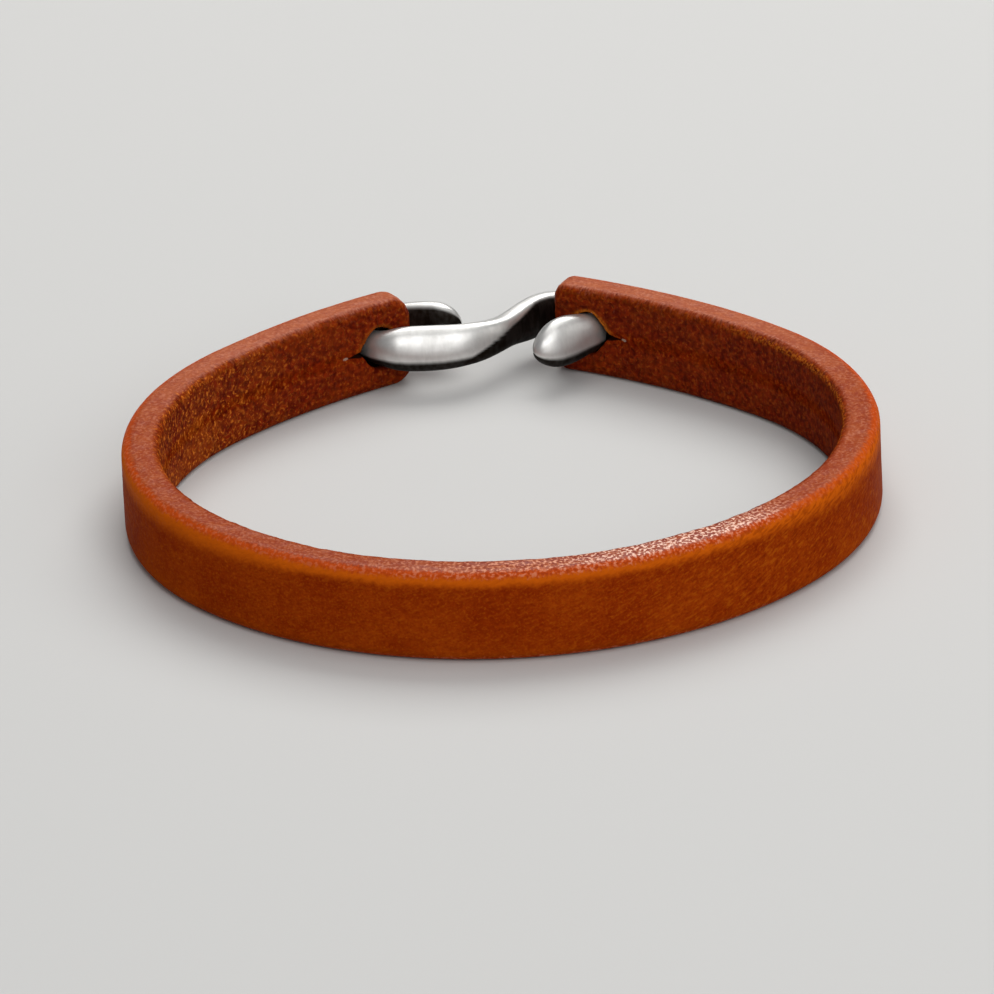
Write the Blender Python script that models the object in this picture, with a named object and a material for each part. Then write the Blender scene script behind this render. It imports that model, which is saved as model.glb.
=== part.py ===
# Leather strap bracelet closed by a steel S-hook, standing on the edge of its strap.
# Lengths are in millimetres and angles in degrees until they reach a mesh.

import bpy
import bmesh
import numpy as np
from math import ceil, cos, hypot, pi, radians, sin

mm = 0.001

# Strap: one thick strip of leather, cut flat and bent into a loop.
strapWidth = 7.5
strapThickness = 3.0
grainEdgeRadius = 0.95
fleshEdgeRadius = 0.5
endCornerRadius = 1.8
strapStation = 2.0

# Plan of the loop, followed along the middle of the leather from the front.
frontRadius = 29.6
frontHalfAngle = 52.25
sideRadius = 23.2
sideAngle = 81.3
tailRadius = 55.0
leftTailLength = 18.3
rightTailLength = 20.6

# Each end has a slit, round beside the end and pointed away from it.
slitMargin = 1.3
slitRoundLength = 1.2
slitPlay = 1.08
slitPointRun = 1.75
slitBow = 1.4

# Hook: one bar, thin where it goes through the leather and flattened elsewhere.
fitGap = 0.37
hookBendThickness = 1.8
hookBendHeight = 2.1
hookBodyThickness = 1.9
hookBodyHeight = 3.8
hookSquareness = 2.6
hookStation = 0.45

# Headings of the hook's straight runs and the radii between them.
hookBodyHeading = 2.0
hookCrossHeading = 52.0
hookOuterHeading = 2.0
hookCrossRadiusIn = 6.5
hookCrossRadiusOut = 4.0
leftLegHeading = 168.0
leftLegLength = 4.7
rightLegHeading = -152.0
rightLegLength = 4.6
hookTipLength = 1.0
hookLean = 4.0
hookDrop = 0.1

# Flattening along the hook: 0 is the bar's section in a bend and 1 that of the body.
hookSections = [
    # run, share of the run, flattening
    ("left leg", 0.0, 0.85),
    ("left leg", 0.6, 0.95),
    ("left bend", 0.10, 0.85),
    ("left bend", 0.38, 0.35),
    ("left bend", 0.52, 0.12),
    ("left bend", 0.66, 0.0),
    ("left bend", 0.80, 0.15),
    ("left bend", 0.93, 0.45),
    ("body", 0.0, 0.75),
    ("body", 0.5, 1.0),
    ("cross in", 0.3, 0.75),
    ("cross", 0.1, 0.32),
    ("cross", 0.8, 0.80),
    ("cross out", 0.6, 0.90),
    ("right bend", 0.10, 0.80),
    ("right bend", 0.45, 0.30),
    ("right bend", 0.75, 0.0),
    ("right bend", 0.97, 0.25),
    ("right leg", 0.3, 0.90),
    ("right leg", 0.6, 1.0),
    ("right leg", 1.0, 0.75),
]

leatherColour = (0.42, 0.16, 0.055, 1.0)
steelColour = (0.72, 0.71, 0.69, 1.0)


def clearScene():
    for item in list(bpy.data.objects):
        bpy.data.objects.remove(item, do_unlink=True)


def makeMaterial(name, colour, roughness, metallic):
    material = bpy.data.materials.new(name)
    material.use_nodes = True
    shader = material.node_tree.nodes["Principled BSDF"]
    shader.inputs["Base Color"].default_value = colour
    shader.inputs["Roughness"].default_value = roughness
    shader.inputs["Metallic"].default_value = metallic
    material.diffuse_color = colour
    return material


def makeCollection(name):
    collection = bpy.data.collections.new(name)
    bpy.context.scene.collection.children.link(collection)
    return collection


def loftRings(rings):
    """Closed body through rings of equally many points, flat at both ends."""
    count = len(rings[0])
    vertices = [tuple(point) for ring in rings for point in ring]
    faces = [tuple(reversed(range(count)))]
    for row in range(len(rings) - 1):
        low = row * count
        for i in range(count):
            j = (i + 1) % count
            faces.append((low + i, low + j, low + count + j, low + count + i))
    last = (len(rings) - 1) * count
    faces.append(tuple(range(last, last + count)))
    return vertices, faces


def makeObject(name, vertices, faces, collection, material=None):
    mesh = bpy.data.meshes.new(name)
    mesh.from_pydata([(x * mm, y * mm, z * mm) for x, y, z in vertices], [], faces)
    fixer = bmesh.new()
    fixer.from_mesh(mesh)
    bmesh.ops.recalc_face_normals(fixer, faces=fixer.faces)
    fixer.to_mesh(mesh)
    fixer.free()
    made = bpy.data.objects.new(name, mesh)
    collection.objects.link(made)
    if material:
        mesh.materials.append(material)
    return made


class Plan:
    """A path in plan made of bends and straight runs, with its place and heading at any length."""

    def __init__(self, start, heading):
        self.pieces = []
        self.point = np.array(start, dtype=float)
        self.heading = heading
        self.length = 0.0

    def add(self, length, radius=0.0, side=1):
        """Go on by a length, straight, or bent to the left (side 1) or right (side -1)."""
        turn = side * length / radius if radius else 0.0
        self.pieces.append((self.length, length, self.point, self.heading, turn))
        self.point, self.heading = self.along(self.pieces[-1], length)
        self.length += length
        return self

    def along(self, piece, run):
        start, length, point, heading, turn = piece
        if turn == 0.0:
            return point + run * np.array([cos(heading), sin(heading)]), heading
        signedRadius = length / turn
        ahead = heading + turn * run / length
        shift = signedRadius * np.array([sin(ahead) - sin(heading), cos(heading) - cos(ahead)])
        return point + shift, ahead

    def at(self, length):
        piece = self.pieces[0]
        for candidate in self.pieces:
            if length >= candidate[0]:
                piece = candidate
        return self.along(piece, length - piece[0])


def leftOf(heading):
    return np.array([-sin(heading), cos(heading)])


def strapPlan():
    """Middle line of the strap, from the left end round the front to the right end."""
    frontTurn = radians(frontHalfAngle)
    sideTurn = radians(sideAngle)
    half = Plan((0.0, 0.0), 0.0)
    half.add(frontRadius * frontTurn, frontRadius)
    half.add(sideRadius * sideTurn, sideRadius)
    half.add(leftTailLength, tailRadius)
    plan = Plan((-half.point[0], half.point[1]), -half.heading)
    plan.add(leftTailLength, tailRadius)
    plan.add(sideRadius * sideTurn, sideRadius)
    plan.add(2 * frontRadius * frontTurn, frontRadius)
    plan.add(sideRadius * sideTurn, sideRadius)
    plan.add(rightTailLength, tailRadius)
    return plan


def strapSection(halfHeight):
    """Section of the strap: thickness (inwards positive) against height from the middle."""
    corners = [
        (1, 1, fleshEdgeRadius),
        (-1, 1, grainEdgeRadius),
        (-1, -1, grainEdgeRadius),
        (1, -1, fleshEdgeRadius),
    ]
    quarters = {(1, 1): 0.0, (-1, 1): 90.0, (-1, -1): 180.0, (1, -1): 270.0}
    steps = 5
    points = []
    for acrossSign, upSign, radius in corners:
        start = quarters[acrossSign, upSign]
        centre = (acrossSign * (strapThickness / 2 - radius), upSign * (halfHeight - radius))
        for i in range(steps + 1):
            angle = radians(start + 90.0 * i / steps)
            points.append((centre[0] + radius * cos(angle), centre[1] + radius * sin(angle)))
    return points


def strapHalfHeight(fromEnd):
    """Half height of the strap near an end, where its corners are rounded off."""
    if fromEnd >= endCornerRadius:
        return strapWidth / 2
    drop = endCornerRadius - fromEnd
    return strapWidth / 2 - endCornerRadius + (endCornerRadius ** 2 - drop ** 2) ** 0.5


def strapStations(length):
    """Places along the flat strap: close together at the round corners, even between them."""
    corner = [endCornerRadius * (1 - cos(radians(angle))) for angle in (0, 15, 30, 45, 60, 75, 90)]
    count = ceil((length - 2 * endCornerRadius) / strapStation)
    middle = np.linspace(endCornerRadius, length - endCornerRadius, count + 1)[1:-1]
    return corner + list(middle) + [length - place for place in reversed(corner)]


def slitPlaces():
    """Bend centre, hook centre and pointed tip of a slit, as lengths from the strap's end."""
    centre = slitMargin / 2
    hookPlace = centre + hookBendRadius()
    tip = hookPlace + hookBendThickness / 2 + slitPointRun
    return centre, hookPlace, tip


def hookBendRadius():
    """Radius of the hook's bends, round the leather between a slit and the strap's end."""
    return hypot(slitMargin / 2, strapThickness / 2) + fitGap + hookBendThickness / 2


def slitOutline():
    """Outline of a slit: half an ellipse near the end, then two sides that meet in a point."""
    tip = slitPlaces()[2]
    halfHeight = hookBendHeight / 2 + slitPlay
    widest = slitMargin + slitRoundLength
    points = []
    for angle in np.linspace(90, 270, 13):
        points.append((widest + slitRoundLength * cos(radians(angle)), halfHeight * sin(radians(angle))))
    sideSteps = 5
    for i in range(1, sideSteps):
        share = i / sideSteps
        points.append((widest + (tip - widest) * share, -halfHeight * (1 - share ** slitBow)))
    points.append((tip, 0.0))
    for i in range(sideSteps - 1, 0, -1):
        share = i / sideSteps
        points.append((widest + (tip - widest) * share, halfHeight * (1 - share ** slitBow)))
    return points


def cutSlit(strap, cutters, place, direction):
    """Cut one slit through the flat strap, pointing away from its end."""
    reach = strapThickness
    rings = []
    for across in (-reach, reach):
        ring = []
        for along, up in slitOutline():
            ring.append((place + direction * along, across, strapWidth / 2 + up))
        rings.append(ring)
    cutter = makeObject("slitCutter", *loftRings(rings), cutters)
    cutter.display_type = "WIRE"
    cutter.hide_render = True
    cut = strap.modifiers.new("slit", "BOOLEAN")
    cut.operation = "DIFFERENCE"
    cut.solver = "EXACT"
    cut.object = cutter


def applyModifiers(item):
    graph = bpy.context.evaluated_depsgraph_get()
    mesh = bpy.data.meshes.new_from_object(item.evaluated_get(graph))
    item.modifiers.clear()
    item.data = mesh


def bendStrap(strap, plan):
    """Lay the flat strap along the plan: its length follows the path, its inside faces the wrist."""
    for vertex in strap.data.vertices:
        along, across, up = (value / mm for value in vertex.co)
        point, heading = plan.at(min(max(along, 0.0), plan.length))
        placed = point + across * leftOf(heading)
        vertex.co = (placed[0] * mm, placed[1] * mm, up * mm)
    strap.data.update()


def makeStrap(plan, parts, cutters, material):
    rings = []
    for along in strapStations(plan.length):
        halfHeight = strapHalfHeight(min(along, plan.length - along))
        ring = []
        for across, up in strapSection(halfHeight):
            ring.append((along, across, strapWidth / 2 + up))
        rings.append(ring)
    strap = makeObject("strap", *loftRings(rings), parts, material)
    cutSlit(strap, cutters, 0.0, 1)
    cutSlit(strap, cutters, plan.length, -1)
    applyModifiers(strap)
    bendStrap(strap, plan)
    return strap


def bendCentre(plan, place):
    """Middle of the leather that a bend of the hook goes round."""
    return plan.at(place)[0]


def hookPlan(strapPath):
    """Middle line of the hook, from the tip outside the left end to the tip inside the right."""
    radius = hookBendRadius()
    centre = slitPlaces()[0]
    leftCentre = bendCentre(strapPath, centre)
    rightCentre = bendCentre(strapPath, strapPath.length - centre)
    body, cross, outer = (radians(a) for a in (hookBodyHeading, hookCrossHeading, hookOuterHeading))
    leftHeading = radians(leftLegHeading)
    rightTurn = outer - radians(rightLegHeading)

    bodyStart = leftCentre - radius * leftOf(body)
    outerEnd = rightCentre + radius * leftOf(outer)
    arcIn = hookCrossRadiusIn * np.array([sin(cross) - sin(body), cos(body) - cos(cross)])
    arcOut = hookCrossRadiusOut * np.array([sin(cross) - sin(outer), cos(outer) - cos(cross)])
    runs = np.array([[cos(body), cos(cross)], [sin(body), sin(cross)]])
    bodyLength, crossLength = np.linalg.solve(runs, outerEnd - bodyStart - arcIn - arcOut)

    bendStart = leftCentre - radius * leftOf(leftHeading)
    tip = bendStart - leftLegLength * np.array([cos(leftHeading), sin(leftHeading)])
    plan = Plan(tip, leftHeading)
    marks = {}
    for name, length, bend, side in (
        ("left leg", leftLegLength, 0.0, 1),
        ("left bend", radius * (2 * pi + body - leftHeading), radius, 1),
        ("body", bodyLength, 0.0, 1),
        ("cross in", hookCrossRadiusIn * (cross - body), hookCrossRadiusIn, 1),
        ("cross", crossLength, 0.0, 1),
        ("cross out", hookCrossRadiusOut * (cross - outer), hookCrossRadiusOut, -1),
        ("right bend", radius * rightTurn, radius, -1),
        ("right leg", rightLegLength, 0.0, 1),
    ):
        marks[name] = (plan.length, length)
        plan.add(length, bend, side)
    return plan, marks


def hookSection(halfThickness, halfHeight):
    """Superellipse: a rounded, slightly squared section."""
    count = 24
    points = []
    for i in range(count):
        angle = 2 * pi * (i + 0.5) / count
        across = abs(cos(angle)) ** (2 / hookSquareness) * (1 if cos(angle) > 0 else -1)
        up = abs(sin(angle)) ** (2 / hookSquareness) * (1 if sin(angle) > 0 else -1)
        points.append((halfThickness * across, halfHeight * up))
    return points


def hookStations(length):
    """Places along the hook: even, and close together on its two rounded tips."""
    tip = [hookTipLength * (1 - cos(radians(angle))) for angle in (10, 25, 40, 55, 70)]
    count = ceil((length - 2 * hookTipLength) / hookStation)
    middle = np.linspace(hookTipLength, length - hookTipLength, count + 1)
    return tip + list(middle) + [length - place for place in reversed(tip)]


def makeHook(strapPath, parts, material):
    plan, marks = hookPlan(strapPath)
    places = [marks[run][0] + share * marks[run][1] for run, share, flattening in hookSections]
    flattenings = [flattening for run, share, flattening in hookSections]
    pivot = hookPivot(strapPath)
    rings = []
    for place in hookStations(plan.length):
        point, heading = plan.at(place)
        fromTip = min(place, plan.length - place, hookTipLength) / hookTipLength
        taper = (1 - (1 - fromTip) ** 2) ** 0.5
        flat = smoothBetween(places, flattenings, place)
        halfHeight = taper / 2 * (hookBendHeight + flat * (hookBodyHeight - hookBendHeight))
        halfThickness = taper / 2 * (hookBendThickness + flat * (hookBodyThickness - hookBendThickness))
        ring = []
        for across, up in hookSection(halfThickness, halfHeight):
            x, y = point + across * leftOf(heading)
            ring.append((x, *leaned(y - pivot, up, pivot)))
        rings.append(ring)
    return makeObject("s_hook", *loftRings(rings), parts, material)


def hookPivot(strapPath):
    """Depth at which the hook goes through the leather, the mean of its two sides."""
    place = slitPlaces()[1]
    return (strapPath.at(place)[0][1] + strapPath.at(strapPath.length - place)[0][1]) / 2


def leaned(depth, up, pivot):
    """Lean the hook in its slits, its outer side down, about a line through both of them."""
    lean = radians(hookLean)
    y = pivot + depth * cos(lean) + up * sin(lean)
    z = strapWidth / 2 - hookDrop - depth * sin(lean) + up * cos(lean)
    return y, z


def smoothBetween(places, values, place):
    """Value at a place, eased between the neighbours in a table."""
    if place <= places[0]:
        return values[0]
    for i in range(len(places) - 1):
        if place <= places[i + 1]:
            share = (place - places[i]) / (places[i + 1] - places[i])
            eased = (1 - cos(pi * share)) / 2
            return values[i] + (values[i + 1] - values[i]) * eased
    return values[-1]


def standOnOrigin(items):
    """Move the pieces together so that the middle of their base is the origin."""
    points = np.array([vertex.co for item in items for vertex in item.data.vertices])
    low = points.min(axis=0)
    high = points.max(axis=0)
    shift = ((low[0] + high[0]) / 2, (low[1] + high[1]) / 2, low[2])
    for item in items:
        for vertex in item.data.vertices:
            vertex.co = tuple(vertex.co[i] - shift[i] for i in range(3))
        item.data.update()


def shadeSmooth(item):
    for face in item.data.polygons:
        face.use_smooth = True


def buildBracelet():
    clearScene()
    parts = makeCollection("cuffBracelet")
    cutters = makeCollection("cutters")
    leather = makeMaterial("leather", leatherColour, 0.62, 0.0)
    steel = makeMaterial("steel", steelColour, 0.24, 1.0)
    strapPath = strapPlan()
    strap = makeStrap(strapPath, parts, cutters, leather)
    hook = makeHook(strapPath, parts, steel)
    standOnOrigin([strap, hook])
    for item in (strap, hook):
        shadeSmooth(item)
    print("strap length", round(strapPath.length, 1), "mm")


buildBracelet()
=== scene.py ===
# Leather strap bracelet with a steel S-hook: the looks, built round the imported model.
# Shapes are worked out in millimetres and put into the meshes in metres.

import bpy
import bmesh
import numpy as np
from math import cos, hypot, pi, radians, sin
from mathutils import Matrix, Vector


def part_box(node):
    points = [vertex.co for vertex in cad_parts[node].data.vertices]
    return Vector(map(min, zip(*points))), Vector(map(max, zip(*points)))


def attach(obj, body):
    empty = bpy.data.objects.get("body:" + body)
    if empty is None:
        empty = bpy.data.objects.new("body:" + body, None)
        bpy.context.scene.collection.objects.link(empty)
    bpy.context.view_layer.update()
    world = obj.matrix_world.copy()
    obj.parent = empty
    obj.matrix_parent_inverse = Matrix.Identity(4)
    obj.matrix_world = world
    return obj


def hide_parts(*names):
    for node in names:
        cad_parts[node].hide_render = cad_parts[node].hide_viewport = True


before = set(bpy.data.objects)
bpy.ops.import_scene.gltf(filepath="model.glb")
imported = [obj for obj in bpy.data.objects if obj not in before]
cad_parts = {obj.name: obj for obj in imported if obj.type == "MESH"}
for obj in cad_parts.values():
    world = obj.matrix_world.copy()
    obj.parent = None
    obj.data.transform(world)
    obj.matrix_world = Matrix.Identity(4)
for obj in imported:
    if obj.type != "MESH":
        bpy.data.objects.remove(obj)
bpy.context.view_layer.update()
mm = 0.001

# Sizes of the strap, as in the construction.
strapLook = {
    "width": 7.5,
    "thickness": 3.0,
    "grainEdgeRadius": 0.95,
    "fleshEdgeRadius": 0.7,
    "endCorners": (1.8, 1.15),   # rounding of the left end's corners and of the right end's
    "frontRadius": 29.6,
    "frontHalfAngle": 52.25,
    "sideRadius": 23.2,
    "sideAngle": 81.3,
    "tailRadius": 55.0,
    "leftTail": 18.3,
    "rightTail": 20.6,
    "step": 0.27,            # length of one face along the strap
    "endRegion": 9.0,        # length of each end that is laid out round its slit
}

slitLook = {
    "margin": 1.3,           # the hook's bends are centred half as far from the strap's ends
    "start": 1.5,            # near end of the slit, from the strap's end
    "widest": 3.3,
    "halfHeight": 1.80,
    "tip": 5.40,             # pointed far end, where a closed cut, painted near black as shade, goes on for a bit
    "round": 2.1,            # how round the slit is at its widest, and how it narrows to the tip
    "narrow": 2.0,
    "lip": 0.2,              # rounding of the slit's lips
    "lineShares": (0.22, 0.66, 0.82, 1.0),  # where on its half the lines to the strap's outline start
    "seamRows": 13,
}

hookLook = {
    "gap": 0.37,             # from the leather's corners to the bends
    "thickness": 1.8,        # in the bends, where it sets their radius
    "bodyHeading": 2.0,
    "crossHeading": 52.0,
    "outerHeading": 2.0,
    "crossRadiusIn": 6.5,
    "crossRadiusOut": 4.0,
    "leftLegHeading": 168.0,
    "leftLegLength": 4.7,
    "rightLegHeading": -150.0,
    "rightLegLength": 5.0,
    "tipLength": 2.3,
    "lean": 4.0,             # of the whole hook about its own length, in degrees
    "rows": 420,             # of faces, along the bar and in each tip
    "tipRows": 22,
    "columns": 72,
}

hookSections = [
    # run of the path, share of the run, height, thickness, lift, roll in degrees, squareness
    ("leftLeg", 0.0, 3.60, 1.85, 0.00, 0, 2.5),
    ("leftLeg", 0.7, 3.65, 1.90, 0.00, 0, 2.5),
    ("leftBend", 0.14, 3.00, 1.85, 0.00, 0, 2.3),
    ("leftBend", 0.34, 2.60, 1.80, 0.00, 2, 2.4),
    ("leftBend", 0.66, 2.50, 1.80, 0.00, 6, 2.2),
    ("leftBend", 0.84, 2.75, 1.85, -0.05, 10, 2.05),
    ("body", 0.0, 3.45, 1.95, -0.12, 15, 2.2),
    ("body", 0.7, 3.65, 2.00, -0.18, 18, 2.3),
    ("crossIn", 0.4, 3.30, 1.95, -0.12, 14, 2.4),
    ("cross", 0.1, 2.70, 1.85, 0.00, 3, 2.8),
    ("cross", 0.9, 3.30, 1.85, 0.00, 0, 2.8),
    ("crossOut", 0.6, 3.50, 1.85, 0.00, 0, 2.6),
    ("rightBend", 0.12, 2.95, 1.85, 0.00, 0, 2.3),
    ("rightBend", 0.36, 2.60, 1.80, 0.00, -3, 2.4),
    ("rightBend", 0.72, 2.50, 1.80, 0.00, -8, 2.2),
    ("rightLeg", 0.04, 3.35, 1.90, -0.05, -14, 2.2),
    ("rightLeg", 0.34, 3.85, 2.00, -0.14, -18, 2.4),
    ("rightLeg", 1.0, 3.10, 2.00, -0.55, -18, 2.4),
]


# Paths in plan: a path is a list of (length, radius, side), straight where the radius is 0.

def walkPath(pieces, start, heading, places):
    # Point and heading at every place: straight pieces go on, bent ones turn about their centre.
    places = np.asarray(places, dtype=float)
    x = np.zeros_like(places)
    y = np.zeros_like(places)
    ahead = np.zeros_like(places)
    point = np.array(start, dtype=float)
    begun = 0.0
    for length, radius, side in pieces:
        turn = side * length / radius if radius else 0.0
        here = places >= begun
        run = places[here] - begun
        if turn == 0.0:
            x[here] = point[0] + run * cos(heading)
            y[here] = point[1] + run * sin(heading)
            ahead[here] = heading
            point = point + length * np.array([cos(heading), sin(heading)])
        else:
            bend = length / turn
            now = heading + turn * run / length
            x[here] = point[0] + bend * (np.sin(now) - sin(heading))
            y[here] = point[1] + bend * (cos(heading) - np.cos(now))
            ahead[here] = now
            end = heading + turn
            point = point + bend * np.array([sin(end) - sin(heading), cos(heading) - cos(end)])
            heading = end
        begun += length
    return x, y, ahead


def strapPath():
    # Arcs that meet without a corner, from the left end round the front to the right end. The front's
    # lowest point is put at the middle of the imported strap's box.
    look = strapLook
    front = radians(look["frontHalfAngle"]) * look["frontRadius"]
    side = radians(look["sideAngle"]) * look["sideRadius"]
    half = [
        (front, look["frontRadius"], 1),
        (side, look["sideRadius"], 1),
        (look["leftTail"], look["tailRadius"], 1),
    ]
    halfLength = front + side + look["leftTail"]
    endX, endY, endHeading = (value[0] for value in walkPath(half, (0, 0), 0.0, [halfLength]))
    pieces = [
        (look["leftTail"], look["tailRadius"], 1),
        (side, look["sideRadius"], 1),
        (2 * front, look["frontRadius"], 1),
        (side, look["sideRadius"], 1),
        (look["rightTail"], look["tailRadius"], 1),
    ]
    low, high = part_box("strap")
    shiftX = (low[0] + high[0]) / 2 / mm
    shiftY = low[1] / mm + look["thickness"] / 2
    start = (shiftX - endX, shiftY + endY)
    return pieces, start, -endHeading


strapPieces, strapStart, strapHeading = strapPath()
strapLength = sum(piece[0] for piece in strapPieces)


def alongStrap(places):
    return walkPath(strapPieces, strapStart, strapHeading, places)


# Noise in numpy: values on a lattice of cells, eased between the cells.

def softNoise(points, size, seed):
    # Sum over a cell's eight corners: the value at the corner times its eased nearness.
    table = np.random.default_rng(seed).random(4096) * 2 - 1
    cell = points / size
    low = np.floor(cell).astype(np.int64)
    part = cell - low
    part = part * part * (3 - 2 * part)
    total = np.zeros(len(points))
    for dx in (0, 1):
        for dy in (0, 1):
            for dz in (0, 1):
                key = (low[:, 0] + dx) * 73856093 ^ (low[:, 1] + dy) * 19349663
                key = key ^ (low[:, 2] + dz) * 83492791
                weight = np.where(dx, part[:, 0], 1 - part[:, 0])
                weight = weight * np.where(dy, part[:, 1], 1 - part[:, 1])
                weight = weight * np.where(dz, part[:, 2], 1 - part[:, 2])
                total += weight * table[key % 4096]
    return total


def smoothStep(low, high, values):
    # 0 up to low, 1 from high on, and a smooth cubic between.
    share = np.clip((values - low) / (high - low), 0, 1)
    return share * share * (3 - 2 * share)


def addPiece(name, vertices, faces, material, node):
    # A smooth mesh with its faces outwards, which rides on the root and stands for a CAD node.
    mesh = bpy.data.meshes.new(name)
    mesh.from_pydata((vertices * mm).tolist(), [], faces)
    mesh.update()
    fixer = bmesh.new()
    fixer.from_mesh(mesh)
    bmesh.ops.recalc_face_normals(fixer, faces=fixer.faces)
    fixer.to_mesh(mesh)
    fixer.free()
    mesh.shade_smooth()
    piece = bpy.data.objects.new(name, mesh)
    bpy.context.scene.collection.objects.link(piece)
    mesh.materials.append(material)
    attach(piece, "root")
    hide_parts(node)
    return piece


def meshNormals(piece):
    normals = np.empty(len(piece.data.vertices) * 3, dtype=np.float32)
    piece.data.vertex_normals.foreach_get("vector", normals)
    return normals.reshape(-1, 3).astype(float)


def setAttribute(piece, name, kind, values):
    attribute = piece.data.attributes.new(name, kind, "POINT")
    field = "vector" if kind == "FLOAT_VECTOR" else "value"
    attribute.data.foreach_set(field, np.ascontiguousarray(values, dtype=np.float32).ravel())


# The flat strap: every patch is a grid of points (along, through, up), up from the middle.

def slitHalf(shares):
    # Upper half of the slit, by its share of length from the pointed tip to the round end: a power
    # curve up to the widest place, then a quarter of an ellipse.
    look = slitLook
    tip = look["tip"]
    widest = look["widest"]
    side = np.linspace(1, 0, 60)
    along = widest + (tip - widest) * side
    up = look["halfHeight"] * (1 - side ** look["round"]) ** look["narrow"]
    angle = np.radians(np.linspace(90, 180, 60)[1:])
    along = np.concatenate([along, widest + (widest - look["start"]) * np.cos(angle)])
    up = np.concatenate([up, look["halfHeight"] * np.sin(angle)])
    run = np.concatenate([[0], np.cumsum(np.hypot(np.diff(along), np.diff(up)))])
    run /= run[-1]
    return np.interp(shares, run, along), np.interp(shares, run, up)


def endRegionLines(corner):
    # The strap's outline round one end, straight, a quarter circle and straight, with its outward
    # normals. Shares say where on the slit's half each line to the outline starts, and the same for
    # the seam to the strap's middle, whose heights run from 0 to 1.
    look = strapLook
    half = look["width"] / 2
    reach = look["endRegion"]
    step = look["step"]
    sideCount = int(round((reach - corner) / step))
    side = np.linspace(reach, corner, sideCount + 1)
    angle = np.radians(np.linspace(0, 90, 10))[1:]
    endCount = int(round((half - corner) / step))
    end = np.linspace(half - corner, 0, endCount + 1)[1:]
    outline = np.concatenate([
        np.stack([side, np.full_like(side, half)], 1),
        np.stack([corner - corner * np.sin(angle), half - corner + corner * np.cos(angle)], 1),
        np.stack([np.zeros_like(end), end], 1),
    ])
    normal = np.concatenate([
        np.tile([0.0, 1.0], (len(side), 1)),
        np.stack([-np.sin(angle), np.cos(angle)], 1),
        np.tile([-1.0, 0.0], (len(end), 1)),
    ])
    shares = np.interp(
        np.arange(len(outline)),
        [0, len(side) - 1, len(side) + len(angle) - 1, len(outline) - 1],
        slitLook["lineShares"],
    )
    backCount = slitLook["seamRows"]
    backShares = np.linspace(0, slitLook["lineShares"][0], backCount + 1)[:-1]
    backUp = np.linspace(0, 1, backCount + 1)[:-1]
    return outline, normal, shares, backShares, backUp


def mirrorLines(values, flip):
    # The lower half repeats the upper one backwards, without its first and last lines.
    lower = values[::-1][1:-1].copy()
    lower[:, flip] *= -1
    return np.concatenate([values, lower])


def slitNormals(points):
    # Each is the way from the point before to the point after, turned by a right angle to face out.
    ahead = np.roll(points, -1, axis=0) - np.roll(points, 1, axis=0)
    length = np.maximum(np.hypot(ahead[:, 0], ahead[:, 1]), 1e-9)
    normals = np.stack([ahead[:, 1], -ahead[:, 0]], 1) / length[:, None]
    outward = points - points.mean(axis=0)
    sign = np.where((normals * outward).sum(axis=1) < 0, -1.0, 1.0)
    return normals * sign[:, None]


def endPatches(corner):
    # One end of the strap, as grids between two outlines: both faces, the slit's wall and the rim.
    look = strapLook
    thickness = look["thickness"]
    outline, normal, shares, backShares, backUp = endRegionLines(corner)
    slitAlong, slitUp = slitHalf(np.concatenate([backShares, shares]))
    slit = mirrorLines(np.stack([slitAlong, slitUp], 1), 1)
    count = len(slit)
    lipNormal = slitNormals(slit)
    lipNormal[0] = [1.0, 0.0]
    lip = slitLook["lip"]
    acrossShares = np.linspace(0, 1, 12)
    patches = []
    for sign, radius in ((1, look["fleshEdgeRadius"]), (-1, look["grainEdgeRadius"])):
        # Face of the leather between the slit and the start of the rounded edge.
        inset = outline - radius * normal
        inset[0] = [look["endRegion"], look["width"] / 2 - radius]
        back = np.stack([
            np.full(len(backUp), look["endRegion"]),
            backUp * (look["width"] / 2 - radius),
        ], 1)
        border = mirrorLines(np.concatenate([back, inset]), 1)
        start = slit + lip * lipNormal
        face = start[:, None] + (border - start)[:, None] * acrossShares[None, :, None]
        through = np.full(face.shape[:2], sign * thickness / 2)
        grid = np.stack([face[..., 0], through, face[..., 1]], -1)
        patches.append(np.concatenate([grid, grid[:1]]))
    # Wall of the slit, its two lips rounded.
    quarter = np.radians(np.linspace(0, 90, 5))
    away = np.concatenate([lip * (1 - np.sin(quarter)), np.zeros(5), lip * (1 - np.sin(quarter))[::-1]])
    depth = thickness / 2 - lip * (1 - np.cos(quarter))
    inside = np.linspace(depth[-1], -depth[-1], 7)[1:-1]
    depth = np.concatenate([depth, inside, -depth[::-1]])
    wall = slit[:, None] + lipNormal[:, None] * away[None, :, None]
    grid = np.stack([wall[..., 0], np.tile(depth, (count, 1)), wall[..., 1]], -1)
    patches.append(np.concatenate([grid, grid[:1]]))
    # Rim round the outline, from the flesh side to the grain side.
    lower = outline[::-1][1:].copy()
    lower[:, 1] *= -1
    lowerNormal = normal[::-1][1:].copy()
    lowerNormal[:, 1] *= -1
    rimLine = np.concatenate([outline, lower])
    rimNormal = np.concatenate([normal, lowerNormal])
    through, out = rimProfile()
    rim = rimLine[:, None] + rimNormal[:, None] * out[None, :, None]
    patches.append(np.stack([rim[..., 0], np.tile(through, (len(rimLine), 1)), rim[..., 1]], -1))
    return patches


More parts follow.
